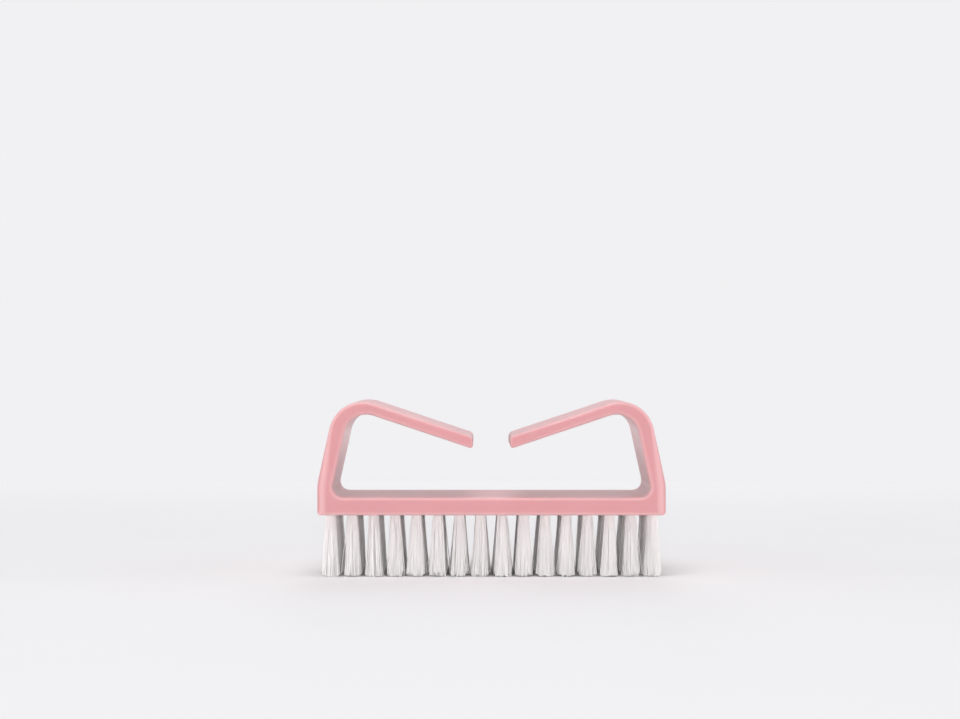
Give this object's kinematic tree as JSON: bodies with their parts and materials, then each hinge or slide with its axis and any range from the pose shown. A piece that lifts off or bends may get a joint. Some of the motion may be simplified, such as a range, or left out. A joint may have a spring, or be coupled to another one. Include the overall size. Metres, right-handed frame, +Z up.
{
  "type": "nail brush",
  "caption": "Hand nail brush: a block with two curled finger grips moulded in one piece, with square-set tufts of bristle held in its underside by flat anchors.",
  "frame": {"origin": "centre of the footprint, in the plane of the bristle tips that the brush stands on", "axes": "+X along the brush, +Y across it from front to back, +Z up from the bristle tips to the grips"},
  "size_m": [0.1, 0.0384, 0.0502],
  "materials": {
    "moulding": "smooth, softly glossy pale pink, slightly translucent",
    "bristle": "off-white nylon filament",
    "anchor_wire": "plain tinned flat wire"
  },
  "bodies": {
    "root": {"body": "moulding", "tufts_01": "bristle", "tufts_02": "bristle", "tufts_03": "bristle", "tufts_04": "bristle", "tufts_05": "bristle", "tufts_06": "bristle", "tufts_07": "bristle", "tufts_08": "bristle", "tufts_09": "bristle", "tufts_10": "bristle", "tufts_11": "bristle", "tufts_12": "bristle", "tufts_13": "bristle", "tufts_14": "bristle", "tufts_15": "bristle", "tufts_16": "bristle", "anchors_01": "anchor_wire", "anchors_02": "anchor_wire", "anchors_03": "anchor_wire", "anchors_04": "anchor_wire", "anchors_05": "anchor_wire", "anchors_06": "anchor_wire", "anchors_07": "anchor_wire", "anchors_08": "anchor_wire", "anchors_09": "anchor_wire", "anchors_10": "anchor_wire", "anchors_11": "anchor_wire", "anchors_12": "anchor_wire", "anchors_13": "anchor_wire", "anchors_14": "anchor_wire", "anchors_15": "anchor_wire", "anchors_16": "anchor_wire"}
  },
  "joints": []
}
